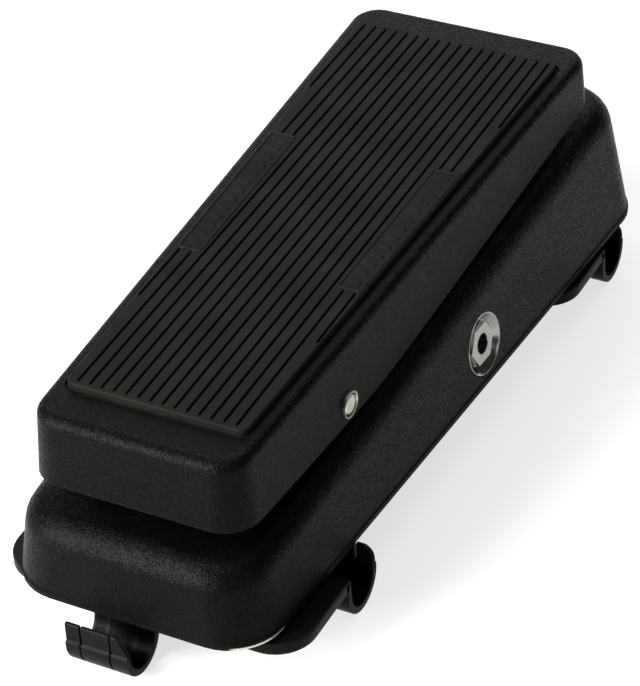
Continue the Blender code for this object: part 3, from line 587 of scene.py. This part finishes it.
def hook(name, x0, edge, top, way, lean, turn):
    """A sprung J of three fingers, moulded side by side on a thinner web.
    The last finger loses lean at its tip: straight where turn is 1, round where it is more."""
    made = []
    ends = (0.0, finger, finger + slit, hook_wide - last_finger - slit, hook_wide - last_finger, hook_wide)
    for k in (0, 2, 4):
        rings = []
        for x in (ends[k], ends[k + 1]):
            ring = []
            for y, z in hook_line(edge, top, way, 0.0):
                up = max(0.0, z - (top - 5.6)) / 6.1
                tip = abs(y - edge) > hook_inner + 5.0
                ring.append((x0 + x - (lean * up ** turn if x == hook_wide and tip else 0.0), y, z))
            rings.append(ring)
        made.append(lofted("%s_finger_%d" % (name, k // 2 + 1), rings))
    line = hook_line(edge, top, way, 0.5)
    made.append(lofted(name + "_web", [[(x0 + x, y, z) for y, z in line] for x in (0.6, hook_wide - 0.6)]))
    return made


def plate(name, low_x, high_x, low_y, top):
    """The flat plate: wide round corners, one square one beside the toe hook, soft edges."""
    rings = []
    bottom = top - plate_thick
    soften = 0.7
    for up, trim in ((0.0, soften), (0.2, 0.2), (soften, 0.0), (plate_thick - soften, 0.0),
                     (plate_thick - 0.2, 0.2), (plate_thick, soften)):
        ring = []
        for x, y, sx, sy, start, wide in ((low_x, low_y, 1, 1, 180, 12.0),
                                          (high_x, low_y, -1, 1, 270, 12.0),
                                          (high_x, low_y + plate_deep, -1, -1, 0, 0.8),
                                          (low_x, low_y + plate_deep, 1, -1, 90, 12.0)):
            radius = wide - trim
            cx = x + sx * wide
            cy = y + sy * wide
            for k in range(12):
                a = math.radians(start + 90.0 * k / 11)
                ring.append((cx + radius * math.cos(a), cy + radius * math.sin(a), bottom + up))
        rings.append(ring)
    return lofted(name, rings)


for label in ("heel", "toe"):
    low, high = [v * 1000 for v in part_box("bracket_" + label)]
    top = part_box("adhesive_pad_" + label)[0].z * 1000 - 0.3
    first = low.y + hook_reach
    slab = plate("clip_plate_" + label, low.x, high.x, first, top)
    dressed(slab, "base", "moulded", satin, "bracket_" + label, corner=40.0)
    middle = (low.x + high.x) / 2
    hooks = hook("clip_hook_%s_near" % label, middle - 16.0, first, top, -1, 3.5, 1.0)
    hooks += hook("clip_hook_%s_far" % label, high.x - hook_wide, first + plate_deep, top, 1, 3.2, 4.0)
    for moulding in hooks:
        dressed(moulding, "base", "moulded", satin, edge_mm=0.25, corner=30.0)

# ---- Foam tape ----
# A strip of brown closed-cell foam tape between each bracket and the bottom plate.
foam = finish("brown_foam_tape", (0.055, 0.022, 0.014), (0.75, 0.95), shine=0.15, patchy=0.3, patch_mm=3.0,
              grain_mm=0.5, grain_deep=0.12)
for label in ("heel", "toe"):
    tape = fettled("adhesive_pad_" + label, "foam_tape_" + label)
    dressed(tape, "base", "foam", foam, "adhesive_pad_" + label, edge_mm=0.1)

# ---- Floor, light and camera ----
# A plain white sweep under five soft boxes, the two brightest in front of the heel's left corner,
# and the camera above the heel's right corner.
stand = bpy.data.meshes.new("sweep")
stand.from_pydata([(-4, -4, 0), (4, -4, 0), (4, 4, 0), (-4, 4, 0)], [], [(0, 1, 2, 3)])
sweep = placed("sweep", stand)
paper = bpy.data.materials.new("white_paper")
paper.use_nodes = True
sheet = paper.node_tree.nodes["Principled BSDF"]
sheet.inputs["Base Color"].default_value = (0.4, 0.4, 0.4, 1)
sheet.inputs["Roughness"].default_value = 0.9
sheet.inputs["Specular IOR Level"].default_value = 0.1
sheet.inputs["Emission Color"].default_value = (1, 1, 1, 1)
sheet.inputs["Emission Strength"].default_value = 0.70
stand.materials.append(paper)

room = bpy.data.worlds.new("studio")
bpy.context.scene.world = room
room.use_nodes = True
room.node_tree.nodes["Background"].inputs["Color"].default_value = (1, 1, 1, 1)
room.node_tree.nodes["Background"].inputs["Strength"].default_value = 0.05


def soft_light(name, azimuth, elevation, away, wide, watts):
    """A square soft box that faces the pedal. Azimuth 0 is in front of the heel, 90 on the right."""
    lamp = bpy.data.lights.new(name, "AREA")
    lamp.shape = "SQUARE"
    lamp.size = wide
    lamp.energy = watts
    lamp.color = (1.0, 0.985, 0.945)
    item = placed(name, lamp)
    a, e = math.radians(azimuth), math.radians(elevation)
    back = Vector((math.sin(a) * math.cos(e), -math.cos(a) * math.cos(e), math.sin(e)))
    item.location = back * away
    item.rotation_mode = "QUATERNION"
    item.rotation_quaternion = back.to_track_quat("Z", "Y")


soft_light("front_soft_box", -40, 45, 1.5, 0.5, 21)
soft_light("low_front_soft_box", -29, 17, 1.5, 0.7, 50)
soft_light("overhead_soft_box", 60, 78, 1.6, 1.0, 4)
soft_light("back_soft_box", -152, 38, 1.6, 1.9, 20)
soft_light("right_soft_box", 78, 18, 1.7, 0.8, 2)

lens = bpy.data.cameras.new("camera")
lens.lens = 143.48
lens.sensor_width = 36
lens.clip_start = 0.01
lens.clip_end = 50
camera = placed("camera", lens)
camera.location = (0.3132, -0.5820, 0.5140)
camera.rotation_euler = [math.radians(d) for d in (53.674, 2.418, 26.685)]
bpy.context.scene.camera = camera
bpy.context.scene.view_settings.view_transform = "Standard"
